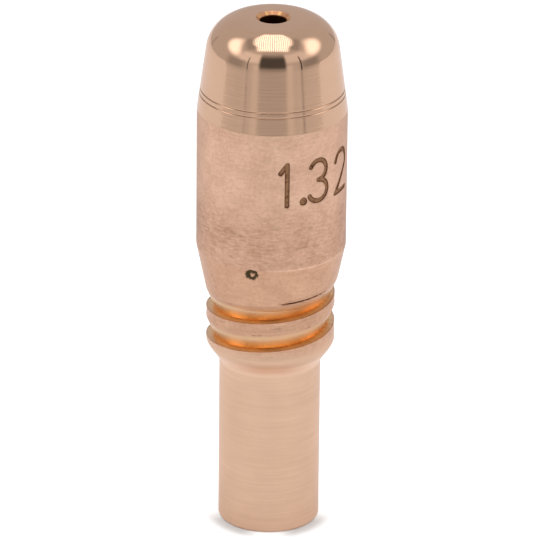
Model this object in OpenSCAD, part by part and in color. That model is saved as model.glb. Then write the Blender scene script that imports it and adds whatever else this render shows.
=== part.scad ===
// Welding contact tip: one turned copper piece, standing on its tail with the nose up.
// The axis is Z, and Z = 0 is the flat end of the tail.

/* [Tail] */
// Diameter of the smooth tail
tail_dia = 6.4; // [5:0.1:7]
// Length of the smooth tail, from its flat end to the lead-in
tail_len = 11.55; // [6:0.05:20]
// Edge break round the flat end
tail_edge = 0.1; // [0.1:0.05:0.6]

/* [Thread] */
// Outside diameter of the thread
thread_dia = 8.1; // [7.6:0.1:9]
// Length of the lead-in, from the tail up to the thread's full diameter
lead_len = 0.8; // [0.4:0.1:2]
// Length of the stretch at the thread's full diameter
thread_len = 3.4; // [2:0.1:8]
// Rise of the thread in one turn
thread_pitch = 1.94; // [1.5:0.02:2.6]
// Width of the crest between two turns of the groove
crest_w = 0.57; // [0.4:0.01:0.9]
// Depth of the groove under the crest
groove_depth = 0.5; // [0.3:0.05:0.6]
// Height of the groove's lower flank
lower_flank = 0.45; // [0.3:0.05:0.6]
// Width of the flat at the groove's root
root_flat = 0.15; // [0.05:0.05:0.3]
// Angle about the axis at which the groove runs out under the seat
runout_angle = 45; // [0:5:355]
// Turning angle over which the groove runs out
runout_sweep = 110; // [45:5:180]

/* [Seat] */
// Length of the tapered seat between the thread and the body
seat_len = 3.15; // [1:0.05:6]

/* [Body] */
// Diameter of the drawn bar that the body keeps
body_dia = 9.4; // [9.1:0.1:12]
// Length of the plain body
body_len = 9.1; // [5:0.05:16]

/* [Nose] */
// Length of the turned nose cone
cone_len = 4.05; // [2:0.05:7]
// Diameter where the cone meets the rounded corner
cone_end_dia = 8.3; // [7.4:0.1:9]
// Radius of the rounded corner
corner_r = 2.2; // [2.2:0.05:2.6]
// Height of the dome, from the end of the cone to the top of its crown
dome_h = 1.95; // [1.7:0.05:1.95]
// Radius of the crown, which is almost flat
crown_r = 36; // [8:1:36]
// Height of the upper scribed ring above the start of the cone
ring_height = 1.4; // [0.8:0.02:1.9]
// Distance between the two scribed rings
ring_gap = 0.32; // [0.2:0.02:0.6]
// Depth of each scribed ring
ring_depth = 0.04; // [0.02:0.01:0.08]

/* [Bore] */
// Diameter of the wire bore
bore_dia = 1.65; // [0.8:0.05:2]
// Diameter of the bore's mouth in the nose
mouth_dia = 2.15; // [2.05:0.05:2.6]
// Depth of the mouth's chamfer
mouth_depth = 0.2; // [0.1:0.05:0.6]
// Diameter of the wire's lead-in funnel in the tail
funnel_dia = 3.6; // [2.4:0.1:4.2]
// Depth of the funnel
funnel_depth = 1.7; // [0.8:0.1:3]

/* [Hidden] */
copper = [0.80, 0.58, 0.46];
$fn = 96;

tail_r = tail_dia / 2;
thread_r = thread_dia / 2;
body_r = body_dia / 2;
cone_end_r = cone_end_dia / 2;
bore_r = bore_dia / 2;
mouth_r = mouth_dia / 2;
funnel_r = funnel_dia / 2;

// Heights along the axis, each from the stretch below it
lead_z = tail_len;
thread_z = lead_z + lead_len;
seat_z = thread_z + thread_len;
body_z = seat_z + seat_len;
cone_z = body_z + body_len;
cone_end_z = cone_z + cone_len;
crown_z = cone_end_z + dome_h;

// The corner's arc is tangent to the cone, and the crown's arc just crosses the corner's
cone_slope = atan((body_r - cone_end_r) / cone_len);
corner_at = [cone_end_r, cone_end_z] - corner_r * [cos(cone_slope), sin(cone_slope)];
crown_at = [0, crown_z - crown_r];
corner_end = atan2(corner_at[1] - crown_at[1], corner_at[0]);
mouth_z = crown_at[1] + sqrt(crown_r * crown_r - mouth_r * mouth_r);

// Size of the cuts where they leave the metal
clear = 1;

// The groove's section, from the axis and from its lower lip
groove_w = thread_pitch - crest_w;
upper_flank = groove_w - lower_flank;
// Its flanks run on past the crest, by this share of the height at which two turns would meet
flank_share = 0.75;
over = flank_share * groove_depth * crest_w / groove_w;
groove_section = [
    [thread_r - groove_depth, lower_flank - root_flat / 2],
    [thread_r - groove_depth, lower_flank + root_flat / 2],
    [thread_r + over, groove_w + upper_flank * over / groove_depth],
    [body_r + clear, groove_w + upper_flank * over / groove_depth],
    [body_r + clear, -lower_flank * over / groove_depth],
    [thread_r + over, -lower_flank * over / groove_depth]
];
// The groove winds down from the seat until it is clear of the lead-in
groove_turns = (seat_z - lead_z + groove_w) / thread_pitch;
// At its start the groove's root is just clear of the seat, which flares out above it
seat_flare = (body_r - thread_r) / seat_len;
runout_lift = groove_depth + 2 * lower_flank * seat_flare;
steps_per_turn = 48;
groove_steps = ceil(groove_turns * steps_per_turn);

// Rounded corner of the half section, from the end of the cone to its top and reaching back into the nose
module corner_section() {
    top = 90;
    middle = (cone_slope + top) / 2;
    back = -corner_r * [cos(middle), sin(middle)];
    translate(corner_at) intersection() {
        circle(corner_r);
        polygon([
            back,
            for (a = [cone_slope, middle, top]) back + 2 * (corner_r * [cos(a), sin(a)] - back)
        ]);
    }
}

// Dome of the half section: the corner and what stands inside it, under the crown's arc
module dome_section() {
    intersection() {
        translate(crown_at) circle(crown_r);
        union() {
            corner_section();
            translate([0, cone_z]) square([corner_at[0] + corner_r * cos(corner_end), crown_z + clear - cone_z]);
        }
    }
}

// Half section of the turned blank, with X from the axis and Y up
module blank_section() {
    polygon([
        [0, 0],
        [tail_r - tail_edge, 0],
        [tail_r, tail_edge],
        [tail_r, lead_z],
        [thread_r, thread_z],
        [thread_r, seat_z],
        [body_r, body_z],
        [body_r, cone_z],
        [cone_end_r, cone_end_z],
        corner_at,
        [0, corner_at[1]]
    ]);
    dome_section();
}

// The wire's way through: funnel, bore and chamfered mouth
module bore_section() {
    funnel_flare = (funnel_r - bore_r) / funnel_depth;
    mouth_flare = (mouth_r - bore_r) / mouth_depth;
    polygon([
        [-clear, -clear],
        [funnel_r + clear * funnel_flare, -clear],
        [bore_r, funnel_depth],
        [bore_r, mouth_z - mouth_depth],
        [mouth_r + clear * mouth_flare, mouth_z + clear],
        [-clear, mouth_z + clear]
    ]);
}

// A scribed ring: a small notch in the cone at a height above its start, with flanks at 45 degrees
module ring_section(height) {
    cone_r = body_r - height * tan(cone_slope);
    translate([cone_r, cone_z + height]) rotate(cone_slope)
        polygon([[-ring_depth, 0], [ring_depth, -2 * ring_depth], [ring_depth, 2 * ring_depth]]);
}

// Share of the runout that is still left at an angle along the groove, from 1 at its start to 0
function lift(turned) = turned >= runout_sweep ? 0 : (1 + cos(180 * turned / runout_sweep)) / 2;

// A point of the groove's section, carried round the axis and down by one pitch a turn
function groove_point(p, turned) =
    let (
        a = runout_angle - turned,
        r = p[0] + lift(turned) * runout_lift,
        z = seat_z + p[1] - thread_pitch * turned / 360
    )
    [r * cos(a), r * sin(a), z];

// The helical groove as one closed solid
module groove() {
    n = len(groove_section);
    last = groove_steps * n;
    points = [
        for (i = [0 : groove_steps], p = groove_section)
            groove_point(p, i * 360 / steps_per_turn)
    ];
    walls = [
        for (i = [0 : groove_steps - 1], j = [0 : n - 1])
            let (k = (j + 1) % n)
            for (face = [[j, k, n + j], [k, n + k, n + j]])
                [for (v = face) i * n + v]
    ];
    ends = [
        [for (j = [n - 1 : -1 : 0]) j],
        [for (j = [0 : n - 1]) last + j]
    ];
    polyhedron(points, concat(walls, ends));
}

// The whole tip
module contact_tip() {
    color(copper) difference() {
        rotate_extrude() difference() {
            blank_section();
            bore_section();
            for (height = [ring_height, ring_height - ring_gap]) ring_section(height);
        }
        groove();
    }
}

contact_tip();
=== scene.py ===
"""Welding contact tip: one turned copper piece, its marks and finishes, and a small studio round it.

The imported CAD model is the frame. Sizes are in metres, Z is the tip's axis and the floor is Z = 0.
Angles about the axis are counted from the front, which faces -Y, towards +X.
"""

import math
from types import SimpleNamespace

import bpy
from bpy.props import FloatProperty, FloatVectorProperty, IntProperty, PointerProperty, StringProperty
from mathutils import Matrix, Quaternion, Vector


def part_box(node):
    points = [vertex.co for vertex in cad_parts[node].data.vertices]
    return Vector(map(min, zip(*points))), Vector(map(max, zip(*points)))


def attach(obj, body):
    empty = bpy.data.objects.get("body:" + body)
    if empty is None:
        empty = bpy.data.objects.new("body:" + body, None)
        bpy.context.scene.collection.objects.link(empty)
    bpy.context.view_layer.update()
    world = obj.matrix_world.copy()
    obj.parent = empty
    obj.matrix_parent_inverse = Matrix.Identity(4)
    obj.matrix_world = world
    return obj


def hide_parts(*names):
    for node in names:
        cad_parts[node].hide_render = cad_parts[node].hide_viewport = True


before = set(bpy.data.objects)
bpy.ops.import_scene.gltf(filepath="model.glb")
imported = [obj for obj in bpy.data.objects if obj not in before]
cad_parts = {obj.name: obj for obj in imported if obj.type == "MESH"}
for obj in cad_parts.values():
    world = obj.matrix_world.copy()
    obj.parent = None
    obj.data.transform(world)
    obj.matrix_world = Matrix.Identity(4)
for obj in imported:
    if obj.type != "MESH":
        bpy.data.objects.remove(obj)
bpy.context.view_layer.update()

bl_info = {
    "name": "Welding contact tip",
    "version": (1, 0, 0),
    "blender": (4, 5, 0),
    "location": "3D View > Sidebar > Contact tip",
    "description": "Makes a turned copper contact tip and a studio for it",
    "category": "Object",
}

MM = 0.001
TURN = 2 * math.pi
DEGREES = 180 / math.pi
# Share of its box that an oval fills
OVAL = math.pi / 4
WHITE = (1, 1, 1)
BLACK = (0, 0, 0)
BODY = "root"
NODE = "contact_tip"
# Width of the photograph in pixels, and of the camera's sensor in millimetres
PHOTO_PIXELS = 547
SENSOR_WIDTH = 36
TIP_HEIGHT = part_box(NODE)[1][2]


def length(name, description, millimetres):
    """A length that a user can change, given in millimetres."""
    metres = millimetres * MM
    return FloatProperty(name=name, description=description, default=metres, unit="LENGTH", precision=5)


def angle(name, description, degrees):
    """An angle that a user can change, given in degrees."""
    return FloatProperty(name=name, description=description, default=math.radians(degrees), subtype="ANGLE")


def share(name, description, value):
    """A number from 0 to 1."""
    return FloatProperty(name=name, description=description, default=value, min=0, max=1, subtype="FACTOR")


def amount(name, description, value):
    """A number without a unit."""
    return FloatProperty(name=name, description=description, default=value)


def whole(name, description, value):
    """A whole number."""
    return IntProperty(name=name, description=description, default=value, min=1)


def colour(name, description, value):
    """A colour in linear light."""
    return FloatVectorProperty(
        name=name, description=description, default=value, size=3, min=0, max=1, subtype="COLOR"
    )


class TipShape(bpy.types.PropertyGroup):
    """Sizes of the turned piece and of its rows of faces."""

    tail_radius: length("Tail radius", "Radius of the smooth tail", 3.2)
    tail_length: length("Tail length", "Length of the smooth tail", 11.55)
    tail_edge: length("Tail edge", "Edge break round the flat end of the tail", 0.1)
    lead_length: length("Lead-in", "Height of the rounded shoulder under the thread", 0.8)
    foot: length("Foot", "How far the shoulder's hollow foot reaches down the tail", 0.65)
    thread_radius: length("Thread radius", "Radius of the thread's crest", 4.05)
    thread_length: length("Thread length", "Length of the stretch at the crest's radius", 3.4)
    seat_length: length("Seat length", "Length of the tapered seat above the thread", 3.15)
    body_radius: length("Body radius", "Radius of the drawn bar", 4.7)
    body_length: length("Body length", "Length of the plain body", 9.1)
    cone_length: length("Cone length", "Length of the turned nose cone", 4.05)
    cone_end: length("Cone end", "Radius where the cone meets the rounded corner", 4.15)
    corner_radius: length("Corner radius", "Radius of the nose's rounded corner", 2.2)
    dome_height: length("Dome height", "Height from the end of the cone to the top of the crown", 1.95)
    ring_height: length("Ring height", "Height of the upper scribed ring above the start of the cone", 1.4)
    ring_gap: length("Ring gap", "Distance between the two scribed rings", 0.32)
    ring_depth: length("Ring depth", "Depth of each scribed ring", 0.045)
    bore_radius: length("Bore radius", "Radius of the wire bore", 0.825)
    mouth_radius: length("Mouth radius", "Radius of the bore's mouth in the nose", 1.075)
    mouth_depth: length("Mouth depth", "Depth of the mouth's chamfer", 0.2)
    funnel_radius: length("Funnel radius", "Radius of the wire's lead-in in the tail", 1.8)
    funnel_depth: length("Funnel depth", "Depth of the wire's lead-in", 1.7)
    soft_edge: length("Soft edge", "How far a turned edge is rounded off", 0.035)
    fine_start: angle("Fine start", "Where the finely divided sector begins", -24)
    fine_span: angle("Fine span", "Width of the finely divided sector, which holds the marks", 106)
    fine_columns: whole("Fine columns", "Columns of faces in the fine sector", 200)
    plain_columns: whole("Plain columns", "Columns of faces in the rest", 72)
    bore_row: length("Bore row", "Height of a row of faces in the bore", 2.8)
    coarse_row: length("Coarse row", "Height of a row of faces on the plain walls", 0.7)
    medium_row: length("Medium row", "Height of a row of faces on short stretches", 0.25)
    small_row: length("Small row", "Height of a row of faces on the shoulder's foot and the number", 0.062)
    corner_rows: whole("Corner rows", "Rows of faces on the rounded corner", 28)
    crown_rows: whole("Crown rows", "Rows of faces on the crown", 6)


class ThreadShape(bpy.types.PropertyGroup):
    """Sizes of the helical groove and its burr."""

    pitch: length("Pitch", "Rise of the groove in one turn", 1.94)
    lip: length("Lip", "Height of the upper turn's lower lip at the front", 15.02)
    width: length("Width", "Width of the groove", 1.28)
    depth: length("Depth", "Depth of the groove", 0.53)
    row: length("Row", "Height of the groove's ledge, and of a row of faces in the groove", 0.042)
    bow: amount("Bow", "How hollow the flank that faces down is", 1.12)
    crest_dip: length("Crest dip", "Depth of the rolled seam along the crest", 0.02)
    start: amount("Start", "Turns before the front at which the groove begins", 1.65)
    runout: amount("Runout", "Turns past the front at which the groove ends", 0.36)
    fade: amount("Fade", "Turns over which the groove fades out", 0.25)
    burr: length("Burr", "Height of the burr on the upper lip", 0.035)
    burr_gap: length("Burr gap", "Depth of the gap under the burr", 0.13)
    burr_width: length("Burr width", "Half the width of the burr and of its gap", 0.075)
    burr_start: amount("Burr start", "Turns past the front at which the burr begins", 0.03)
    burr_end: amount("Burr end", "Turns past the front at which the burr ends", 0.15)
    burr_fade: amount("Burr fade", "Half the turns over which each end of the burr fades", 0.02)


class MarkShape(bpy.types.PropertyGroup):
    """The engraved wire size and the pit in the seat."""

    number: StringProperty(name="Number", description="Wire size in millimetres", default="1.32")
    height: length("Digit height", "Height of a digit", 2.72)
    width: length("Digit width", "Width of a digit", 1.5)
    base: length("Base line", "Height of the digits' base line", 23.3)
    margin: length("Margin", "How far the small rows of faces reach past the digits", 0.525)
    first: angle("First place", "Angle of the first digit's middle", 11.5)
    pitch: angle("Digit pitch", "Angle from one digit to the next", 27)
    stroke: length("Stroke", "Half the width of an engraved stroke", 0.175)
    depth: length("Stroke depth", "Depth of an engraved stroke", 0.09)
    pit_angle: angle("Pit angle", "Angle of the pit's middle", -14.6)
    pit_z: length("Pit height", "Height of the pit's middle", 18.57)
    pit_radius: length("Pit radius", "Radius of the ring-shaped pit", 0.25)
    pit_wall: length("Pit wall", "Half the width of the pit's ring", 0.16)
    pit_depth: length("Pit depth", "Depth of the pit", 0.08)


class CopperFinish(bpy.types.PropertyGroup):
    """Colours and finishes of the copper, some with light and shade painted in, and where they change."""

    bar: colour("Drawn bar", "Satin copper of the body", (0.79, 0.492, 0.35))
    turned: colour("Turned", "Turned copper of the tail", (0.775, 0.507, 0.355))
    seat: colour("Seat", "Copper of the seat and the thread's crest", (0.66, 0.385, 0.252))
    polished: colour("Polished", "Polished copper of the nose", (0.70, 0.445, 0.305))
    rim: colour("Rim", "Tint of the copper at a glancing view", (0.97, 0.93, 0.93))
    bar_rim: colour("Bar rim", "Tint of the drawn bar at a glancing view", (0.66, 0.67, 0.7))
    # Painted reflection: pale copper on the groove's upper flank, where it mirrors the bright floor
    flank: colour("Flank", "Copper of the groove's upper flank", (0.8, 0.535, 0.33))
    # Painted glow of light bouncing deep in the groove, also used for the mouth's painted glints
    groove: colour("Groove", "Clean copper deep in the groove and in the mouth's glints", (0.9, 0.505, 0.215))
    engraved: colour("Engraved", "Copper on the floor of the engraved strokes", (0.42, 0.225, 0.122))
    # Painted shade and the painted orange glow of light bouncing in the mouth's chamfer
    mouth: colour("Mouth", "Copper of the bore's mouth", (0.5, 0.235, 0.125))
    # Dark copper for the stains and the strokes' edges, and also painted shade in the bore, the scribed rings
    # and the gap under the burr
    burnt_and_painted_shade: colour("Burnt", "Dark bore, rings, stains, gap and edges of the strokes", (0.13, 0.05, 0.022))
    pit: colour("Pit", "Dark scale in the pit", (0.085, 0.06, 0.028))
    bar_rough: share("Bar roughness", "Roughness of the drawn bar", 0.42)
    turned_rough: share("Turned roughness", "Roughness of the tail and the seat", 0.34)
    cone_rough: share("Cone roughness", "Roughness of the nose cone", 0.13)
    dome_rough: share("Dome roughness", "Roughness of the dome's corner", 0.06)
    crown_rough: share("Crown roughness", "Roughness of the dome's crown", 0.2)
    groove_rough: share("Groove roughness", "Roughness inside the groove", 0.28)
    relief: length("Relief", "Height of the tool lines, grain and blotches", 0.004)
    edge: length("Edge", "Half the width of the change from one finish to the next", 0.05)
    crown_inner: length("Crown inner", "Radius inside which the crown has its own finish", 1.9)
    crown_outer: length("Crown outer", "Radius outside which the corner has its own finish", 2.4)
    tail_below: length("Tail below", "How far below the thread's start the tail's finish changes", 0.2)
    tail_above: length("Tail above", "How far above the thread's start the seat's finish is reached", 1.0)
    worn_full: length("Worn full", "Height above the body's start up to which it is fully worn", 2.2)
    worn_end: length("Worn end", "Height above the body's start at which the wear ends", 4.6)
    # Painted highlight: where the bright line on the body's lower edge sets in, left to right
    highlight_side: length("Worn side", "Half the width over which the edge highlight sets in, left to right", 1.0)
    # Painted light on the shoulder's foot, which faces down
    foot_soft: length("Foot soft", "How far the paler foot runs up past the tail, and how softly", 0.2)


class StudioLayout(bpy.types.PropertyGroup):
    """Floor, lamps, surroundings and camera."""

    floor_front: length("Floor front", "How far the floor reaches towards the camera", 90)
    floor_front_half: length("Floor front half", "Half the width of the floor's front edge", 63)
    floor_near: length("Floor near", "How far its sides reach towards the camera", 25)
    floor_cut: length("Floor cut", "Where its front corners are cut off at each side", 150)
    floor_side: length("Floor side", "How far the floor reaches to each side", 500)
    floor_back: length("Floor back", "How far the floor reaches behind the tip", 500)
    floor_colour: colour("Floor", "Pale floor", (0.845, 0.86, 0.87))
    floor_lift: share("Floor lift", "What is added to the floor where the camera sees it", 0.42)
    floor_mirror: share("Floor mirror", "What is added to the floor where the metal mirrors it", 0.12)
    shadow_inner: length("Shadow inner", "Radius inside which the contact shadow is full", 3.4)
    shadow_outer: length("Shadow outer", "Radius at which the contact shadow ends", 4.3)
    shadow_front: length("Shadow front", "Distance in front of the axis past which it is full", 1.6)
    shadow_gap: length("Shadow gap", "Half the width of the gap in the middle of it", 0.4)
    shadow_side: length("Shadow side", "Distance to each side past which it is full", 1.8)
    fill: share("Fill", "Level of the surroundings as a fill light", 0.6)
    surroundings: share("Surroundings", "Level of the surroundings as the metal mirrors them", 0.64)
    top_level: amount("Top level", "Brightness of the lamp above", 1.9)
    side_level: amount("Side level", "Brightness of the lamps beside", 1.9)
    boxes_seen: amount("Boxes seen", "Brightness of the soft boxes as the metal mirrors them", 2.0)
    elevation: angle("Elevation", "Height of the camera above the horizon", 24.26)
    roll: angle("Roll", "Turn of the camera about its view", 0.59)
    distance: length("Distance", "Distance of the camera from the point it looks at", 352.3)
    focal_pixels: amount("Focal length", "Focal length in photo pixels", 5604)
    look_height: length("Look height", "Height on the axis that the camera looks at", 17.186)
    look_right: length("Look right", "Step to the right of that, across the view", 0.178)
    look_down: length("Look down", "Step down from that, across the view", 0.483)


GROUPS = {
    "tip_shape": TipShape,
    "tip_thread": ThreadShape,
    "tip_marks": MarkShape,
    "tip_finish": CopperFinish,
    "tip_studio": StudioLayout,
}


class Wire:
    """A node's output that Python expressions can use: each sum or product adds a Math node."""

    def __init__(self, tree, socket):
        self.tree = tree
        self.socket = socket

    def __add__(self, other):
        return self.tree.math("ADD", self, other)

    def __sub__(self, other):
        return self.tree.math("SUBTRACT", self, other)

    def __rsub__(self, other):
        return self.tree.math("SUBTRACT", other, self)

    def __mul__(self, other):
        return self.tree.math("MULTIPLY", self, other)

    def __truediv__(self, other):
        return self.tree.math("DIVIDE", self, other)

    def __rtruediv__(self, other):
        return self.tree.math("DIVIDE", other, self)

    def __pow__(self, other):
        return self.tree.math("POWER", self, other)

    def __mod__(self, other):
        return self.tree.math("MODULO", self, other)

    __radd__ = __add__
    __rmul__ = __mul__


class Tree:
    """A node tree that is grown by expressions."""

    def __init__(self, tree):
        self.tree = tree

    def add(self, kind, settings=None, inputs=None, output=0):
        """Adds a node: its settings first, then the values or links of its sockets."""
        node = self.tree.nodes.new(kind)
        for name, value in (settings or {}).items():
            setattr(node, name, value)
        for key, value in (inputs or {}).items():
            if isinstance(value, Wire):
                self.tree.links.new(value.socket, node.inputs[key])
            else:
                node.inputs[key].default_value = value
        return Wire(self, node.outputs[output])

    def close(self, kind, wire):
        """Adds the tree's output node and links a wire to its first socket."""
        self.tree.links.new(wire.socket, self.tree.nodes.new(kind).inputs[0])

    def math(self, operation, *values):
        return self.add("ShaderNodeMath", {"operation": operation}, dict(enumerate(values)))

    def split(self, vector):
        """The three parts of a vector."""
        node = self.add("ShaderNodeSeparateXYZ", None, {0: vector}).socket.node
        return [Wire(self, output) for output in node.outputs]

    def join(self, x, y, z):
        return self.add("ShaderNodeCombineXYZ", None, {0: x, 1: y, 2: z})

    def rise(self, value, low, high):
        """0 below low, 1 above high and a smooth step between them."""
        ramp = {"Value": value, "From Min": low, "From Max": high}
        return self.add("ShaderNodeMapRange", {"interpolation_type": "SMOOTHSTEP"}, ramp)

    def band(self, value, low, high, soft):
        """1 between low and high, with soft ends."""
        return self.rise(value, low - soft, low + soft) * (1 - self.rise(value, high - soft, high + soft))

    def noise(self, vector, scale, detail=2.0):
        return self.add("ShaderNodeTexNoise", None, {"Vector": vector, "Scale": scale, "Detail": detail})

    def mix(self, factor, a, b):
        """Colour a where the factor is 0 and b where it is 1."""
        return self.add("ShaderNodeMix", {"data_type": "RGBA"}, {0: factor, 6: rgba(a), 7: rgba(b)}, 2)

    def rays(self):
        """1 for the camera's rays, and 1 for those that metal mirrors or glass lets through."""
        path = self.add("ShaderNodeLightPath").socket.node
        kinds = ("Camera", "Glossy", "Transmission")
        camera, glossy, through = (Wire(self, path.outputs[f"Is {kind} Ray"]) for kind in kinds)
        return camera, self.math("MAXIMUM", glossy, through)


def rgba(value):
    """A colour with its alpha, or the wire as it is."""
    return value if isinstance(value, Wire) else (*value, 1.0)


def new_object(name, data):
    """An object in the scene's collection."""
    piece = bpy.data.objects.new(name, data)
    bpy.context.scene.collection.objects.link(piece)
    return piece


def levels(shape):
    """Heights of the tip's stretches along its axis."""
    lead = shape.tail_length
    thread = lead + shape.lead_length
    seat = thread + shape.thread_length
    body = seat + shape.seat_length
    cone = body + shape.body_length
    cone_end = cone + shape.cone_length
    return SimpleNamespace(lead=lead, thread=thread, seat=seat, body=body, cone=cone, cone_end=cone_end)


def stretch(start, end, step, soft=(0, 0)):
    """Points along a straight stretch, held back from its soft ends and doubled there to keep them crisp."""
    run = math.dist(start, end)
    first, last = soft[0], run - soft[1]
    marks = [first, first + soft[0]] if soft[0] else [first]
    stop = last - soft[1]
    begin = marks[-1]
    count = max(1, round((stop - begin) / step))
    marks += [begin + (stop - begin) * i / count for i in range(1, count + 1)]
    if soft[1]:
        marks.append(last)
    return [tuple(a + (b - a) * t / run for a, b in zip(start, end)) for t in marks]


def arc(centre, radius, start, end, count):
    """Points on an arc, without its first one."""
    turns = [start + (end - start) * i / count for i in range(1, count + 1)]
    return [(centre[0] + radius * math.cos(t), centre[1] + radius * math.sin(t)) for t in turns]


def tail_outline(shape, z):
    """The tail's flat end, its edge break and its wall up to the shoulder's foot."""
    soft, medium = shape.soft_edge, shape.medium_row
    wall, edge = shape.tail_radius, shape.tail_edge
    outline = stretch((shape.funnel_radius, 0), (wall - edge, 0), medium, (soft, soft))
    outline += stretch((wall - edge, 0), (wall, edge), medium, (soft, soft))
    outline += stretch((wall, edge), (wall, z.lead - shape.foot), shape.coarse_row, (soft, 0))
    return outline


def thread_outline(shape, thread, z):
    """The shoulder, half a straight slope and half a smooth step, and the crest that the groove is cut in."""
    small, row, crest = shape.small_row, thread.row, shape.thread_radius
    foot = z.lead - shape.foot
    heights = stretch((0, foot + small), (0, z.lead), small) + stretch((0, z.lead + row), (0, z.thread), row)
    outline = []
    for _, height in heights:
        climb = (height - foot) / (z.thread - foot)
        bulge = (climb + climb**2 * (3 - 2 * climb)) / 2
        outline.append((shape.tail_radius + (crest - shape.tail_radius) * bulge, height))
    outline += stretch((crest, z.thread + row), (crest, z.seat), row)
    return outline


def seat_outline(shape, thread, marks, z):
    """The tapered seat, in fine rows where the groove runs out and where the pit lies."""
    row, medium = thread.row, shape.medium_row
    flare = (shape.body_radius - shape.thread_radius) / shape.seat_length
    groove_top = thread.lip + thread.width + thread.runout * thread.pitch
    pit_low = marks.pit_z - (marks.pit_radius + 2 * marks.pit_wall)

    def seat_at(height):
        return (shape.thread_radius + (height - z.seat) * flare, height)

    outline = stretch(seat_at(z.seat + row), seat_at(groove_top), row)
    outline += stretch(seat_at(groove_top + medium), seat_at(pit_low), medium)
    outline += stretch(seat_at(pit_low + row), seat_at(z.body), row, (0, shape.soft_edge))
    return outline


def body_outline(shape, marks, z):
    """The drawn bar, in small rows where the number is engraved."""
    soft, small, medium = shape.soft_edge, shape.small_row, shape.medium_row
    wall = shape.body_radius
    low, high = marks.base - marks.margin, marks.base + marks.height + marks.margin
    outline = stretch((wall, z.body), (wall, low), shape.coarse_row, (soft, 0))
    outline += stretch((wall, low + small), (wall, high), small)
    outline += stretch((wall, high + medium), (wall, z.cone), medium, (0, soft))
    return outline


def cone_outline(shape, z, slope):
    """The nose cone with its two scribed rings."""
    soft, medium = shape.soft_edge, shape.medium_row

    def cone_at(height, depth=0.0):
        """A point of the cone at a height above its start, or that far under its surface."""
        radius = shape.body_radius - height * math.tan(slope)
        return (radius - depth * math.cos(slope), z.cone + height - depth * math.sin(slope))

    outline = []
    start = cone_at(0)
    for ring in (shape.ring_height - shape.ring_gap, shape.ring_height):
        outline += stretch(start, cone_at(ring - shape.ring_depth), medium, (soft / 2, soft / 4))
        outline.append(cone_at(ring, shape.ring_depth))
        start = cone_at(ring + shape.ring_depth)
    outline += stretch(start, cone_at(shape.cone_length), medium, (soft / 2, 0))
    return outline


def dome_outline(shape, z, slope):
    """The rounded corner and the almost flat crown, and the height at which the bore's mouth opens."""
    soft, corner_radius = shape.soft_edge, shape.corner_radius
    corner = (shape.cone_end - corner_radius * math.cos(slope), z.cone_end - corner_radius * math.sin(slope))
    rise = z.cone_end + shape.dome_height - corner[1] - corner_radius
    crown_radius = corner_radius + (corner[0] ** 2 + rise**2) / (2 * rise)
    crown = (0.0, z.cone_end + shape.dome_height - crown_radius)
    join = math.atan2(corner[1] - crown[1], corner[0])
    lip = math.acos(shape.mouth_radius / crown_radius)
    outline = arc(corner, corner_radius, slope, join, shape.corner_rows)
    outline += arc(crown, crown_radius, join, lip - soft / crown_radius, shape.crown_rows)
    return outline, crown[1] + crown_radius * math.sin(lip)


def bore_outline(shape, mouth_z):
    """The mouth's chamfer, the wire bore and the funnel in the tail, from the top down."""
    soft, medium, bore = shape.soft_edge, shape.medium_row, shape.bore_radius
    throat = mouth_z - shape.mouth_depth
    outline = stretch((shape.mouth_radius, mouth_z), (bore, throat), medium, (soft / 2, soft / 2))
    outline += stretch((bore, throat), (bore, shape.funnel_depth), shape.bore_row, (soft, soft))
    outline += stretch((bore, shape.funnel_depth), (shape.funnel_radius, 0), medium, (soft, soft))
    return outline


def half_section(shape, thread, marks):
    """The tip's closed half section as (radius, height) points, up the outside and down the bore."""
    z = levels(shape)
    slope = math.atan2(shape.body_radius - shape.cone_end, shape.cone_length)
    dome, mouth_z = dome_outline(shape, z, slope)
    outline = tail_outline(shape, z) + thread_outline(shape, thread, z)
    outline += seat_outline(shape, thread, marks, z) + body_outline(shape, marks, z)
    outline += cone_outline(shape, z, slope) + dome + bore_outline(shape, mouth_z)
    return outline


def oval(x, z, wide, tall, start, end, count=16):
    """Points of a stroke that follows part of an oval, angles in degrees."""
    turns = [math.radians(start + (end - start) * i / count) for i in range(count + 1)]
    return [(x + wide * math.cos(t), z + tall * math.sin(t)) for t in turns]


# Strokes of each sign on a field one unit wide and one tall, from the middle of its base line
STROKES = {
    "1": [[(-0.26, 0.8), (0.02, 1.0), (0.02, 0.0)]],
    "2": [oval(0, 0.72, 0.46, 0.28, 168, -28) + [(-0.46, 0.0), (0.48, 0.0)]],
    "3": [oval(-0.02, 0.76, 0.42, 0.24, 155, -90), oval(-0.02, 0.26, 0.48, 0.26, 90, -155)],
    ".": [oval(0, 0.06, 0.07, 0.04, 0, 360)],
}


def number_strokes(marks, radius):
    """The number's strokes as an unrolled mesh of edges: X runs round the body and Z up."""
    points, edges = [], []
    place = marks.first
    for sign in marks.number:
        at = place - marks.pitch / 2 if sign == "." else place
        for stroke in STROKES[sign]:
            first = len(points)
            points += [(at * radius + x * marks.width, 0, marks.base + z * marks.height) for x, z in stroke]
            edges += [(i, i + 1) for i in range(first, len(points) - 1)]
        if sign != ".":
            place += marks.pitch
    mesh = bpy.data.meshes.new("number_strokes")
    mesh.from_pydata(points, edges, [])
    return new_object("number_strokes", mesh)


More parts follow.
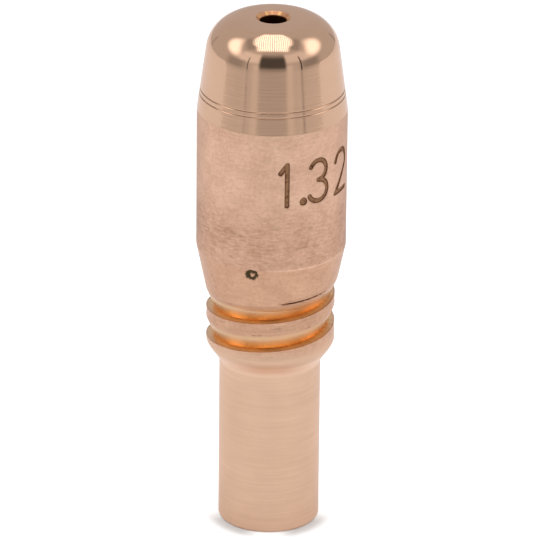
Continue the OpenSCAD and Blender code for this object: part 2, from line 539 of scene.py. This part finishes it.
# Sizes that the lathe takes, each with its property group and its field there
LATHE_SIZES = {
    "Fine Start": ("tip_shape", "fine_start"),
    "Fine Span": ("tip_shape", "fine_span"),
    "Crest Radius": ("tip_shape", "thread_radius"),
    "Wall Radius": ("tip_shape", "body_radius"),
    "Pitch": ("tip_thread", "pitch"),
    "Lip": ("tip_thread", "lip"),
    "Width": ("tip_thread", "width"),
    "Depth": ("tip_thread", "depth"),
    "Row": ("tip_thread", "row"),
    "Bow": ("tip_thread", "bow"),
    "Crest Dip": ("tip_thread", "crest_dip"),
    "Start": ("tip_thread", "start"),
    "Runout": ("tip_thread", "runout"),
    "Fade": ("tip_thread", "fade"),
    "Burr": ("tip_thread", "burr"),
    "Burr Gap": ("tip_thread", "burr_gap"),
    "Burr Width": ("tip_thread", "burr_width"),
    "Burr Start": ("tip_thread", "burr_start"),
    "Burr End": ("tip_thread", "burr_end"),
    "Burr Fade": ("tip_thread", "burr_fade"),
    "Stroke": ("tip_marks", "stroke"),
    "Stroke Depth": ("tip_marks", "depth"),
    "Pit Angle": ("tip_marks", "pit_angle"),
    "Pit Height": ("tip_marks", "pit_z"),
    "Pit Radius": ("tip_marks", "pit_radius"),
    "Pit Wall": ("tip_marks", "pit_wall"),
    "Pit Depth": ("tip_marks", "pit_depth"),
}
LATHE_INPUTS = {
    "Section": "NodeSocketGeometry",
    "Columns": "NodeSocketInt",
    "Fine Share": "NodeSocketFloat",
    "Strokes": "NodeSocketObject",
    "Material": "NodeSocketMaterial",
    **dict.fromkeys(LATHE_SIZES, "NodeSocketFloat"),
}
# Side of the flat grid that is rolled up
GRID_SIZE = 1.0
# Middle and reach of the rows 0 and 1 above the lip, which are the groove's lip and its root
EDGE_ROWS = (0.5, 0.6)
# The gap and the burr across the upper lip, in burr widths from their middles: where each is full and ends
GAP_ACROSS = (0.2, 1.0)
BURR_ACROSS = (0.2, 1.2)
# How far above the lip the burr's middle is, in burr widths
BURR_ABOVE_LIP = 1.6
# Share of the body's radius past which a point lies on its wall
ON_WALL = 0.995
# Share of a stroke and of the pit's ring that is flat
STROKE_FLOOR = 0.45
PIT_FLOOR = 0.35
# How ragged the pit is, as a share of its radius, and how its distances round the axis are shortened
PIT_RAGGED = 1.6
PIT_SHORTENED = 0.85
# The pit's noise: millimetres in a metre, and its scale and detail over millimetres
PIT_UNIT = 1 / MM
PIT_NOISE = (4.0, 4.0)
# Distance under which points are joined, and the angle from which an edge is crisp
MERGE_DISTANCE = 0.0001 * MM
SHARP_ANGLE = math.radians(48)
# Middle value of a noise
NOISE_MEAN = 0.5


def unrolled_grid(t, g):
    """A flat grid, and the angle, the blank's radius and the height that each of its points stands for."""
    # A column for each angle and a row for each point of the section
    points = t.add("GeometryNodeAttributeDomainSize", {"component": "MESH"}, {0: g["Section"]})
    grid = t.add(
        "GeometryNodeMeshGrid",
        None,
        {
            "Size X": GRID_SIZE,
            "Size Y": GRID_SIZE,
            "Vertices X": g["Columns"] + 1,
            "Vertices Y": points + 1,
        },
    )
    across, along, _ = t.split(t.add("GeometryNodeInputPosition"))
    u = across + GRID_SIZE / 2
    row = t.math("ROUND", (along + GRID_SIZE / 2) * points) % points
    sample = t.add(
        "GeometryNodeSampleIndex",
        {"data_type": "FLOAT_VECTOR", "domain": "POINT"},
        {"Geometry": g["Section"], "Value": t.add("GeometryNodeInputPosition"), "Index": row},
    )
    blank, _, z = t.split(sample)
    in_fine = t.math("MINIMUM", u / g["Fine Share"], 1.0)
    in_plain = t.math("MAXIMUM", (u - g["Fine Share"]) / (1 - g["Fine Share"]), 0.0)
    turned = g["Fine Start"] + in_fine * g["Fine Span"] + in_plain * (TURN - g["Fine Span"])
    return grid, turned, blank, z


def groove_cut(t, g, turned, blank, z):
    """The groove and its burr: the radius that is left, the height that each row moves to, and the gap."""
    # The height above the lower lip, and the turns passed since the front
    climb = (z - g["Lip"]) / g["Pitch"] - turned / TURN
    lap = t.math("FLOOR", climb)
    free_height = (climb - lap) * g["Pitch"]
    passed = turned / TURN + lap

    def left(turns):
        """1 along the groove and 0 before its start and past its end."""
        begun = t.rise((turns + g["Start"]) / g["Fade"], 0.0, 1.0)
        return begun * t.rise((g["Runout"] - turns) / g["Fade"], 0.0, 1.0)

    # The rows next to the lip and to the root move onto them, which keeps both edges smooth
    from_lip = free_height - t.math("GREATER_THAN", free_height, g["Pitch"] / 2) * g["Pitch"]
    nearest = t.math("ROUND", from_lip / g["Row"])
    begun = t.math("GREATER_THAN", passed + g["Start"], 0.0)
    on_groove = t.math("LESS_THAN", passed, g["Runout"]) * begun
    on_edge = t.math("COMPARE", nearest, *EDGE_ROWS) * on_groove
    height = on_edge * nearest * g["Row"] + (1 - on_edge) * free_height
    moved = z + on_edge * (nearest * g["Row"] - from_lip)

    # The hollow between the two lips, and the seam on the crest above it
    upper = t.math("MAXIMUM", (g["Width"] - height) / (g["Width"] - g["Row"]), 0.0) ** g["Bow"]
    hollow = t.math("MINIMUM", t.math("MINIMUM", upper, height / g["Row"]), 1.0)
    on_crest = t.math("MAXIMUM", (height - g["Width"]) / (g["Pitch"] - g["Width"]), 0.0)
    seam = left(passed + 1) * t.math("SINE", on_crest * math.pi)
    cut = left(passed) * hollow * g["Depth"] + seam * g["Crest Dip"]

    # A burr on the upper lip, to the right of the front, with a gap under it
    above_lip = (height - g["Width"]) / g["Burr Width"]
    on_burr = t.band(passed, g["Burr Start"], g["Burr End"], g["Burr Fade"])
    gap = on_burr * (1 - t.rise(t.math("ABSOLUTE", above_lip), *GAP_ACROSS))
    burr = on_burr * (1 - t.rise(t.math("ABSOLUTE", above_lip - BURR_ABOVE_LIP), *BURR_ACROSS))
    cut = cut + gap * g["Burr Gap"] - burr * g["Burr"]
    crest = t.math("MAXIMUM", blank, g["Crest Radius"])
    threaded = t.math("MINIMUM", blank + burr * g["Burr"], crest - cut)
    return threaded, moved, gap


def number_cut(t, g, spot, blank):
    """1 on the floor of the number's strokes and 0 beside them, on the body's wall only."""
    strokes = t.add("GeometryNodeObjectInfo", None, {"Object": g["Strokes"]}, "Geometry")
    search = {0: strokes, "Sample Position": spot}
    reach = t.add("GeometryNodeProximity", {"target_element": "EDGES"}, search, "Distance")
    on_wall = t.math("GREATER_THAN", blank, g["Wall Radius"] * ON_WALL)
    return on_wall * (1 - t.rise(reach, g["Stroke"] * STROKE_FLOOR, g["Stroke"]))


def pit_cut(t, g, spot, turned, blank, z):
    """1 on the floor of the pit's ragged ring and 0 beside it, above the thread only."""
    place = t.add("ShaderNodeVectorMath", {"operation": "SCALE"}, {0: spot, "Scale": PIT_UNIT})
    ragged = (t.noise(place, *PIT_NOISE) - NOISE_MEAN) * g["Pit Radius"] * PIT_RAGGED
    side = (turned - g["Pit Angle"]) * g["Wall Radius"] * PIT_SHORTENED
    rise = z - g["Pit Height"]
    far = t.math("SQRT", side * side + rise * rise) + ragged
    from_ring = t.math("ABSOLUTE", far - g["Pit Radius"])
    on_seat = t.math("GREATER_THAN", blank, g["Crest Radius"])
    return on_seat * (1 - t.rise(from_ring, g["Pit Wall"] * PIT_FLOOR, g["Pit Wall"]))


def closed_surface(t, g, grid, place, masks):
    """The grid in its place and closed, with its masks, smooth faces, crisp edges and material."""
    shaped = grid
    for name, value in masks.items():
        stored = {"Geometry": shaped, "Name": name, "Value": value}
        shaped = t.add("GeometryNodeStoreNamedAttribute", None, stored)
    shaped = t.add("GeometryNodeSetPosition", None, {"Geometry": shaped, "Position": place})
    shaped = t.add("GeometryNodeMergeByDistance", None, {"Geometry": shaped, "Distance": MERGE_DISTANCE})
    shaped = t.add("GeometryNodeSetShadeSmooth", None, {"Geometry": shaped})
    sharp = t.math("GREATER_THAN", t.add("GeometryNodeInputMeshEdgeAngle"), SHARP_ANGLE)
    crisp = {"Geometry": shaped, "Selection": sharp, "Shade Smooth": False}
    shaped = t.add("GeometryNodeSetShadeSmooth", {"domain": "EDGE"}, crisp)
    shaped = t.add("GeometryNodeRealizeInstances", None, {"Geometry": shaped})
    return t.add("GeometryNodeSetMaterial", None, {"Geometry": shaped, "Material": g["Material"]})


def lathe_tree():
    """Geometry Nodes that turn the half section about Z and cut the groove, the number and the pit."""
    group = bpy.data.node_groups.new("turned_tip", "GeometryNodeTree")
    for name, kind in LATHE_INPUTS.items():
        group.interface.new_socket(name=name, in_out="INPUT", socket_type=kind)
    group.interface.new_socket(name="Geometry", in_out="OUTPUT", socket_type="NodeSocketGeometry")
    t = Tree(group)
    source = group.nodes.new("NodeGroupInput")
    g = {name: Wire(t, source.outputs[name]) for name in LATHE_INPUTS}
    grid, turned, blank, z = unrolled_grid(t, g)
    threaded, moved, gap = groove_cut(t, g, turned, blank, z)
    spot = t.join(turned * g["Wall Radius"], 0.0, z)
    mark = number_cut(t, g, spot, blank)
    pit = pit_cut(t, g, spot, turned, blank, z)
    radius = threaded - mark * g["Stroke Depth"] - pit * g["Pit Depth"]
    place = t.join(radius * t.math("SINE", turned), radius * t.math("COSINE", turned) * -1.0, moved)
    # The gap mask carries painted shade: the gap under the burr is painted dark
    masks = {"groove": (blank - threaded) / g["Depth"], "gap": gap, "mark": mark, "pit": pit}
    t.close("NodeGroupOutput", closed_surface(t, g, grid, place, masks))
    return group


def plain_mesh(piece, group, values):
    """Runs a node tree on a piece once and keeps the result as its plain mesh."""
    modifier = piece.modifiers.new(group.name, "NODES")
    modifier.node_group = group
    for item in group.interface.items_tree:
        if item.in_out == "INPUT" and item.name in values:
            modifier[item.identifier] = values[item.name]
    bpy.context.view_layer.update()
    evaluated = piece.evaluated_get(bpy.context.evaluated_depsgraph_get())
    mesh = bpy.data.meshes.new_from_object(evaluated)
    piece.modifiers.remove(modifier)
    old, piece.data = piece.data, mesh
    bpy.data.meshes.remove(old)
    mesh.name = piece.name
    if not mesh.polygons:
        raise RuntimeError(f"{piece.name} came out empty")


def face_outwards(mesh):
    """Turns the faces round if the closed mesh holds a negative volume."""
    mesh.calc_loop_triangles()
    spots = [v.co for v in mesh.vertices]
    volume = sum(
        spots[a].dot(spots[b].cross(spots[c])) for a, b, c in (t.vertices for t in mesh.loop_triangles)
    )
    if volume < 0:
        mesh.flip_normals()


# Patterns drawn out round the axis: how often each changes in a metre around and up, and its detail
STREAKS = {
    "lines": (250.0, 9000.0, 3.0),
    "broad": (180.0, 1500.0, 2.0),
    "scratches": (2200.0, 7500.0, 2.0),
    "dashes": (1100.0, 5000.0, 2.0),
}
# Patterns without a direction: how often each changes in a metre, and its detail
SPECKS = {"blotch": (650.0, 4.0), "grain": (5200.0, 3.0)}
# Scale of the noise round the axis that makes the mouth's painted glints
GLINT_SCALE = 3.5
# How much each pattern or stretch lightens the copper; the edge highlight and the paler foot are painted
# light
SHADE = {
    "broad": 0.14,
    "lines": 0.08,
    "tail lines": 0.12,
    "blotch": 0.14,
    "handled blotch": 0.3,
    "handled grain": 0.3,
    "handled scratches": 0.3,
    "worn scratches": 0.25,
    "edge highlight": 0.25,
    "foot": 0.2,
    "worn": -0.15,
}
# Share of the shading that the polished nose loses
NOSE_EVEN = 0.5
# How strongly the shading acts on red, green and blue
TONE = (0.85, 1.1, 1.25)
# Between which values of its mask or pattern each finish, painted light included, sets in
ONSET = {
    "flank": (0.08, 0.3),
    "clean": (0.42, 0.92),
    "glints": (0.5, 0.64),
    "stains": (0.6, 0.72),
    "stroke edge": (0.05, 0.3),
    "stroke floor": (0.55, 0.95),
    "stroke grain": (0.25, 0.5),
}
# Shares of the groove's depth that its upper lip takes up, and how softly
LIP_BAND = (0.03, 0.12, 0.03)
# How dark the painted shade in the rings is, and the stains on the lip and low on the body
DARKEN = {"rings": 0.4, "lip stains": 0.5, "worn stains": 0.2}
# What patterns and marks add to the roughness
ROUGHEN = {"lines": 0.1, "blotch": 0.1, "mouth": 0.22, "marks": 0.2}
# Heights of the patterns in the relief, as shares of it, with what each stretch adds
RELIEF = {
    "lines": 0.35,
    "tail lines": 0.35,
    "cone lines": 0.35,
    "bar lines": -0.15,
    "dome lines": -0.25,
    "grain": 0.15,
    "handled grain": 0.55,
    "bar blotch": 1.5,
}


def copper_zones(t, shape, finish, x, height, from_axis):
    """Masks of the tip's stretches: 1 on each stretch and 0 elsewhere."""
    z = levels(shape)
    edge = finish.edge
    zone = SimpleNamespace()

    def above(level):
        return t.rise(height, level - edge, level + edge)

    zone.mouth = 1 - t.rise(from_axis, shape.mouth_radius - edge, shape.mouth_radius + edge)
    # The bore, which is painted dark as painted shade
    zone.bore = 1 - t.rise(from_axis, shape.bore_radius, shape.bore_radius + edge)
    zone.nose = above(z.cone)
    zone.dome = above(z.cone_end)
    zone.crown = zone.dome * (1 - t.rise(from_axis, finish.crown_inner, finish.crown_outer))
    zone.cone = zone.nose * (1 - zone.dome)
    zone.bar = above(z.body) * (1 - zone.nose)
    zone.worn = zone.bar * (1 - t.rise(height, z.body + finish.worn_full, z.body + finish.worn_end))
    # A painted highlight: a bright line along the body's lower edge, on its right half
    zone.worn_edge = t.band(height, z.body - edge, z.body + edge, edge)
    zone.worn_edge = zone.worn_edge * t.rise(x, -finish.highlight_side, finish.highlight_side)
    zone.tail = 1 - t.rise(height, z.thread - finish.tail_below, z.thread + finish.tail_above)
    zone.handled = (1 - zone.tail) * (1 - zone.nose)
    # Painted light: the shoulder's foot, which faces down, is painted paler to lift its shade
    zone.foot = t.band(height, z.lead - shape.foot, z.lead + finish.foot_soft, finish.foot_soft)
    # The scribed rings, which are darkened as painted shade
    upper_ring = z.cone + shape.ring_height
    zone.rings = sum(
        t.band(height, ring - shape.ring_depth, ring + shape.ring_depth, edge / 2)
        for ring in (upper_ring, upper_ring - shape.ring_gap)
    )
    return zone


def copper_patterns(t, at, x, y, height):
    """Lines that a tool leaves round the axis, scratches, dashes, blotches and fine grain."""
    patterns = SimpleNamespace()
    for name, (around, up, detail) in STREAKS.items():
        setattr(patterns, name, t.noise(t.join(x * around, y * around, height * up), 1.0, detail))
    for name, (scale, detail) in SPECKS.items():
        setattr(patterns, name, t.noise(at, scale, detail))
    return patterns


def copper_shade(zone, pattern):
    """How much lighter or darker the plain copper is than its colour."""
    broad, lines, blotch, grain, scratches = (
        getattr(pattern, name) - NOISE_MEAN for name in ("broad", "lines", "blotch", "grain", "scratches")
    )
    shade = broad * SHADE["broad"] + lines * (SHADE["lines"] + zone.tail * SHADE["tail lines"])
    shade = shade + blotch * (SHADE["blotch"] + zone.handled * SHADE["handled blotch"])
    scratched = scratches * (SHADE["handled scratches"] + zone.worn * SHADE["worn scratches"])
    shade = shade + (grain * SHADE["handled grain"] + scratched) * zone.handled
    # The edge highlight and the paler foot are painted light
    shade = shade + zone.worn_edge * SHADE["edge highlight"] + zone.foot * SHADE["foot"]
    return shade * (1 - zone.nose * NOSE_EVEN) + zone.worn * SHADE["worn"]


def copper_colour(t, finish, zone, pattern, mark, glints):
    """The copper's colour: plain stretches first, then the groove's painted light, the bore's painted shade,
    stains and marks.
    """
    paint = t.mix(zone.tail, finish.seat, finish.turned)
    paint = t.mix(zone.bar, paint, finish.bar)
    paint = t.mix(zone.nose, paint, finish.polished)
    shade = copper_shade(zone, pattern)
    tone = t.join(*(1 + shade * part for part in TONE))
    paint = t.add("ShaderNodeVectorMath", {"operation": "MULTIPLY"}, {0: paint, 1: tone})
    # Painted reflection: the groove's shallow upper flank is painted pale, like the bright floor it mirrors
    paint = t.mix(t.rise(mark.groove, *ONSET["flank"]), paint, finish.flank)
    # Painted light: deep in the groove, the orange glow of light bouncing between its walls
    paint = t.mix(mark.clean, paint, finish.groove)
    # Painted light and shade on the mouth's chamfer: darker, redder copper with painted glints in the
    # groove's colour
    paint = t.mix(zone.mouth, paint, t.mix(glints, finish.mouth, finish.groove))
    # Painted shade: the bore is painted dark
    paint = t.mix(zone.bore, paint, finish.burnt_and_painted_shade)
    # Painted shade in the scribed rings
    paint = t.mix(zone.rings * DARKEN["rings"], paint, finish.burnt_and_painted_shade)
    upper_lip = t.band(mark.groove, *LIP_BAND) * (1 - zone.tail)
    stained = upper_lip * DARKEN["lip stains"] + zone.worn * DARKEN["worn stains"]
    stains = t.rise(pattern.dashes, *ONSET["stains"]) * stained
    # Painted shade in the gap under the burr, and the stains on the lip and low on the body
    paint = t.mix(t.math("MAXIMUM", stains, mark.gap), paint, finish.burnt_and_painted_shade)
    paint = t.mix(t.rise(mark.mark, *ONSET["stroke edge"]), paint, finish.burnt_and_painted_shade)
    stroke_floor = t.rise(mark.mark, *ONSET["stroke floor"]) * t.rise(pattern.grain, *ONSET["stroke grain"])
    paint = t.mix(stroke_floor, paint, finish.engraved)
    return t.mix(mark.pit, paint, finish.pit)


def copper_roughness(finish, zone, pattern, mark):
    """The copper's roughness: each stretch in its own finish, with the patterns and marks over it."""
    rough = zone.bar * (finish.bar_rough - finish.turned_rough) + finish.turned_rough
    rough = rough + zone.nose * (finish.cone_rough - finish.turned_rough)
    rough = rough + zone.dome * (finish.dome_rough - finish.cone_rough)
    rough = rough + zone.crown * (finish.crown_rough - finish.dome_rough)
    lines, blotch = pattern.lines - NOISE_MEAN, pattern.blotch - NOISE_MEAN
    rough = rough + (lines * ROUGHEN["lines"] + blotch * ROUGHEN["blotch"]) * (1 - zone.dome)
    rough = rough + mark.clean * (finish.groove_rough - finish.turned_rough) + zone.mouth * ROUGHEN["mouth"]
    return rough + (mark.mark + mark.pit) * ROUGHEN["marks"]


def copper_relief(zone, pattern):
    """Height of the tool lines, the grain and the blotches, as a share of the relief."""
    lined = RELIEF["lines"] + zone.tail * RELIEF["tail lines"] + zone.cone * RELIEF["cone lines"]
    lined = lined + zone.bar * RELIEF["bar lines"] + zone.dome * RELIEF["dome lines"]
    grained = (RELIEF["grain"] + zone.handled * RELIEF["handled grain"]) * (1 - zone.nose)
    return pattern.lines * lined + pattern.grain * grained + pattern.blotch * zone.bar * RELIEF["bar blotch"]


def copper_material(shape, finish):
    """Copper with a polished nose, a drawn body, a groove with painted light in it and a turned tail."""
    material = bpy.data.materials.new("turned_copper")
    material.use_nodes = True
    material.node_tree.nodes.clear()
    t = Tree(material.node_tree)
    at = t.add("ShaderNodeTexCoord", None, None, "Object")
    x, y, height = t.split(at)
    from_axis = t.math("SQRT", x * x + y * y)
    zone = copper_zones(t, shape, finish, x, height, from_axis)
    pattern = copper_patterns(t, at, x, y, height)
    mark = SimpleNamespace()
    for name in ("groove", "gap", "mark", "pit"):
        setattr(mark, name, t.add("ShaderNodeAttribute", {"attribute_name": name}, None, "Fac"))
    mark.clean = t.rise(mark.groove, *ONSET["clean"])
    round_axis = t.join(x / from_axis, y / from_axis, 0.0)
    glints = t.rise(t.noise(round_axis, GLINT_SCALE), *ONSET["glints"])
    paint = copper_colour(t, finish, zone, pattern, mark, glints)
    rough = copper_roughness(finish, zone, pattern, mark)
    uneven = {"Strength": 1.0, "Distance": finish.relief, "Height": copper_relief(zone, pattern)}
    bump = t.add("ShaderNodeBump", None, uneven, "Normal")

    def copper(tint):
        """The metal with its own tint at a glancing view."""
        values = {
            "Base Color": paint,
            "Metallic": 1.0,
            "Roughness": rough,
            "Specular Tint": rgba(tint),
            "Normal": bump,
        }
        return t.add("ShaderNodeBsdfPrincipled", None, values)

    both = {0: zone.bar, 1: copper(finish.rim), 2: copper(finish.bar_rim)}
    t.close("ShaderNodeOutputMaterial", t.add("ShaderNodeMixShader", None, both))
    return material


class TIP_OT_turn(bpy.types.Operator):
    """Turns the copper tip, with its groove, its bore, its number and its finishes"""

    bl_idname = "contact_tip.turn"
    bl_label = "Turn the tip"

    def execute(self, context):
        scene = context.scene
        shape, marks = scene.tip_shape, scene.tip_marks
        section = half_section(shape, scene.tip_thread, marks)
        mesh = bpy.data.meshes.new("half_section")
        mesh.from_pydata([(r, 0, z) for r, z in section], [], [])
        piece = new_object("turned_tip", mesh)
        strokes = number_strokes(marks, shape.body_radius)
        columns = shape.fine_columns + shape.plain_columns
        values = {
            "Columns": columns,
            "Fine Share": shape.fine_columns / columns,
            "Strokes": strokes,
            "Material": copper_material(shape, scene.tip_finish),
        }
        for name, (group, field) in LATHE_SIZES.items():
            values[name] = getattr(getattr(scene, group), field)
        plain_mesh(piece, lathe_tree(), values)
        face_outwards(piece.data)
        bpy.data.objects.remove(strokes)
        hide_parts(NODE)
        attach(piece, BODY)
        return {"FINISHED"}


# What the metal mirrors, painted over the plain surroundings one after another, in degrees:
# its azimuths, its elevations, how soft its sides and its ends are, and its level
ROOM = {
    "left wall": ((-62, -22), (16, 44), (6, 6), 0.98),
    "right wall": ((22, 66), (18, 44), (6, 6), 0.9),
    "left low": ((-92, -40), (-50, -6), (8, 4), 0.78),
    "right low": ((40, 92), (-50, -6), (8, 4), 0.78),
    "left horizon": ((-82, -49), (-6, 16), (9, 6), 0.4),
    "right horizon": ((50, 84), (-5, 16), (9, 6), 0.36),
    "front horizon": ((-34, 34), (-60, 10), (5, 5), 0.8),
    "camera": ((-23, 23), (-4, 43), (3.5, 13), 0.1),
    "left stand": ((-43.9, -42.1), (-8, 30), (0.5, 4), 0.15),
    "left leg": ((-43.6, -42.4), (-40, -8), (0.5, 3), 0.45),
    "right stand": ((48.0, 50.4), (-8, 32), (0.5, 4), 0.06),
    "right leg": ((48.2, 50.2), (-40, -8), (0.5, 3), 0.3),
    "left post": ((-134.5, -130.5), (-6, 16), (1, 3), 0.46),
    "right post": ((140.5, 145.0), (-6, 12), (1, 3), 0.42),
}
# The oval soft boxes beside, in degrees: middle and half width in azimuth, middle and half height
# in elevation, and how far they climb in a degree of azimuth
BOXES_BESIDE = {
    "left box": ((-92, 28), (40, 15), -0.4),
    "right box": ((95, 28), (38, 17), 0.3),
}
# Shares of an oval's half size at which its light begins to fall and has ended
OVAL_EDGE = (0.4, 1.3)
# The ribbed soft box above, by slopes from straight up: its ends, its half widths at the back, in the middle
# and at the front, between which slopes it widens and narrows, its edges, its ribs and how far it fans out
BOX_ABOVE = SimpleNamespace(
    back=-0.68,
    front=0.6,
    end_soft=0.1,
    narrow=0.25,
    wide=0.39,
    mouth=0.32,
    widest=-0.15,
    narrows=(0.05, 0.3),
    side_edge=(0.75, 1.15),
    rib=0.04,
    relief=1.5,
    fan=0.85,
)
# The grey frame round it: slopes to each side and forward with their softness, and its level
FRAME_ASIDE = (0.3, 0.6, 0.1)
FRAME_FORWARD = (-0.3, 0.45, 0.15)
FRAME_LEVEL = 0.42
# Limits that keep slopes finite near the horizon and behind the tip
LEAST_HEIGHT = 0.05
LEAST_FAN = 0.2


def lay_over(under, there, level):
    """A level laid over what lies under it, where its mask is 1."""
    return there * level + (1 - there) * under


def room_panels(t, room, azimuth, elevation, boxes_level):
    """Walls, stands and the camera's dark place, and the two soft boxes beside over them."""
    for (left, right), (low, high), (side_soft, end_soft), level in ROOM.values():
        there = t.band(azimuth, left, right, side_soft) * t.band(elevation, low, high, end_soft)
        room = lay_over(room, there, level)
    for (middle, half), (height, half_height), slant in BOXES_BESIDE.values():
        aside = azimuth - middle
        up = (elevation - aside * slant - height) / half_height
        far = t.math("SQRT", (aside / half) ** 2.0 + up**2.0)
        room = lay_over(room, 1 - t.rise(far, *OVAL_EDGE), boxes_level)
    return room


def box_above(t, room, x, y, z, boxes_level):
    """The ribbed soft box above and its frame, over the rest of the room."""
    box = BOX_ABOVE
    above = t.math("MAXIMUM", z, LEAST_HEIGHT)
    forward = y * -1.0 / above
    across = x / above / t.math("MAXIMUM", 1 + forward * box.fan, LEAST_FAN)
    aside = t.math("ABSOLUTE", across)
    framed = t.band(aside, *FRAME_ASIDE) * t.band(forward, *FRAME_FORWARD)
    room = lay_over(room, framed, FRAME_LEVEL)
    waist = box.narrow + (box.wide - box.narrow) * t.rise(forward, box.back, box.widest)
    waist = waist - (box.wide - box.mouth) * t.rise(forward, *box.narrows)
    there = t.band(forward, box.back, box.front, box.end_soft)
    there = there * (1 - t.rise(aside / waist, *box.side_edge))
    ribs = t.math("SINE", across * (TURN / box.rib)) * box.relief
    return lay_over(room, there, boxes_level + ribs)


def surroundings(studio):
    """White for the camera, a plain fill for the floor, and the painted room for what the metal mirrors."""
    world = bpy.data.worlds.new("studio")
    world.use_nodes = True
    world.node_tree.nodes.clear()
    t = Tree(world.node_tree)
    x, y, z = t.split(t.add("ShaderNodeTexCoord", None, None, "Generated"))
    azimuth = t.math("ARCTAN2", x, y * -1.0) * DEGREES
    elevation = t.math("ARCSINE", z) * DEGREES
    camera, mirrored = t.rays()
    room = room_panels(t, studio.surroundings, azimuth, elevation, studio.boxes_seen)
    room = box_above(t, room, x, y, z, studio.boxes_seen)
    level = t.math("MAXIMUM", camera, mirrored * room + (1 - mirrored) * studio.fill)
    sky = t.add("ShaderNodeBackground", None, {"Color": rgba(WHITE), "Strength": level})
    t.close("ShaderNodeOutputWorld", sky)
    bpy.context.scene.world = world


def floor_material(studio):
    """A pale matt sheet, lifted to white where it is seen, apart from the contact shadow in front."""
    material = bpy.data.materials.new("pale_floor")
    material.use_nodes = True
    material.node_tree.nodes.clear()
    t = Tree(material.node_tree)
    seen, mirrored = t.rays()
    x, y, _ = t.split(t.add("ShaderNodeTexCoord", None, None, "Object"))
    from_axis = t.math("SQRT", x * x + y * y)
    shadow = 1 - t.rise(from_axis, studio.shadow_inner, studio.shadow_outer)
    shadow = shadow * (1 - t.rise(y, -studio.shadow_front, 0.0))
    clear = 1 - shadow * t.rise(t.math("ABSOLUTE", x), studio.shadow_gap, studio.shadow_side)
    lift = t.math("MAXIMUM", seen * clear * studio.floor_lift, mirrored * studio.floor_mirror)
    matt = t.add("ShaderNodeBsdfDiffuse", None, {"Color": rgba(studio.floor_colour)})
    glow = t.add("ShaderNodeEmission", None, {"Color": t.mix(lift, BLACK, WHITE), "Strength": 1.0})
    t.close("ShaderNodeOutputMaterial", t.add("ShaderNodeAddShader", None, {0: matt, 1: glow}))
    return material


def pale_floor(studio):
    """The floor under the tip, narrower in front, where it would hide the room from the metal."""
    side, front, back = studio.floor_side, studio.floor_front, studio.floor_back
    near, cut = studio.floor_near, studio.floor_cut
    half = [(side, back), (side, -near), (cut, -near), (studio.floor_front_half, -front)]
    corners = [(-x, y, 0) for x, y in half] + [(x, y, 0) for x, y in reversed(half)]
    mesh = bpy.data.meshes.new("floor")
    mesh.from_pydata(corners, [], [range(len(corners))])
    mesh.materials.append(floor_material(studio))
    floor = new_object("floor", mesh)


# Lamps: azimuth, elevation and tilt in degrees, distance and size in metres, and the field of the brightness
LAMPS = {
    "top_box": (180, 88, 0, 0.5, (0.34, 0.66), "top_level"),
    "left_box": (-95, 42, -28, 0.6, (0.48, 0.27), "side_level"),
    "right_box": (97, 41, 22, 0.6, (0.43, 0.33), "side_level"),
}


def soft_box(name, azimuth, elevation, tilt, distance, size, level):
    """An oval lamp that faces the tip and that the metal doesn't mirror."""
    lamp = bpy.data.lights.new(name, "AREA")
    lamp.shape = "ELLIPSE"
    lamp.size, lamp.size_y = size
    lamp.energy = level * math.pi * size[0] * size[1] * OVAL**2
    box = new_object(name, lamp)
    a, e = math.radians(azimuth), math.radians(elevation)
    way = Vector((math.sin(a) * math.cos(e), -math.cos(a) * math.cos(e), math.sin(e)))
    box.visible_glossy = False
    box.location = Vector((0, 0, TIP_HEIGHT)) + way * distance
    turn = way.to_track_quat("Z", "Y") @ Quaternion((0, 0, 1), math.radians(tilt))
    box.rotation_euler = turn.to_euler()


def photo_camera(studio):
    """The camera at the photograph's viewing angle, for a square picture."""
    e, roll = studio.elevation, studio.roll
    back = Vector((0, -math.cos(e), math.sin(e)))
    right = Vector((1, 0, 0))
    up = back.cross(right)
    look = Vector((0, 0, studio.look_height)) + right * studio.look_right - up * studio.look_down
    turned_right = right * math.cos(roll) + up * math.sin(roll)
    turned_up = up * math.cos(roll) - right * math.sin(roll)
    data = bpy.data.cameras.new("camera")
    data.sensor_width = SENSOR_WIDTH
    data.lens = studio.focal_pixels / PHOTO_PIXELS * SENSOR_WIDTH
    camera = new_object("camera", data)
    turn = Matrix((turned_right, turned_up, back)).transposed().to_4x4()
    camera.matrix_world = Matrix.Translation(look + back * studio.distance) @ turn
    bpy.context.scene.camera = camera


class TIP_OT_studio(bpy.types.Operator):
    """Sets up the floor, the lamps, the surroundings and the camera"""

    bl_idname = "contact_tip.studio"
    bl_label = "Set up the studio"

    def execute(self, context):
        studio = context.scene.tip_studio
        context.scene.view_settings.view_transform = "Standard"
        surroundings(studio)
        pale_floor(studio)
        for name, (*place, level) in LAMPS.items():
            soft_box(name, *place, getattr(studio, level))
        photo_camera(studio)
        return {"FINISHED"}


class TIP_PT_panel(bpy.types.Panel):
    """Lists the steps that make the tip and its studio"""

    bl_idname = "TIP_PT_panel"
    bl_label = "Contact tip"
    bl_space_type = "VIEW_3D"
    bl_region_type = "UI"
    bl_category = "Contact tip"

    def draw(self, context):
        for step in STEPS:
            self.layout.operator(step.bl_idname)
        for name, group in GROUPS.items():
            box = self.layout.box()
            for field in group.__annotations__:
                box.prop(getattr(context.scene, name), field)


STEPS = (TIP_OT_turn, TIP_OT_studio)


def register():
    for group in GROUPS.values():
        bpy.utils.register_class(group)
    for name, group in GROUPS.items():
        setattr(bpy.types.Scene, name, PointerProperty(type=group))
    for step in (*STEPS, TIP_PT_panel):
        bpy.utils.register_class(step)


def unregister():
    for step in (TIP_PT_panel, *reversed(STEPS)):
        bpy.utils.unregister_class(step)
    for name, group in reversed(GROUPS.items()):
        delattr(bpy.types.Scene, name)
        bpy.utils.unregister_class(group)


def main():
    register()
    bpy.ops.contact_tip.turn()
    bpy.ops.contact_tip.studio()


if __name__ == "__main__":
    main()
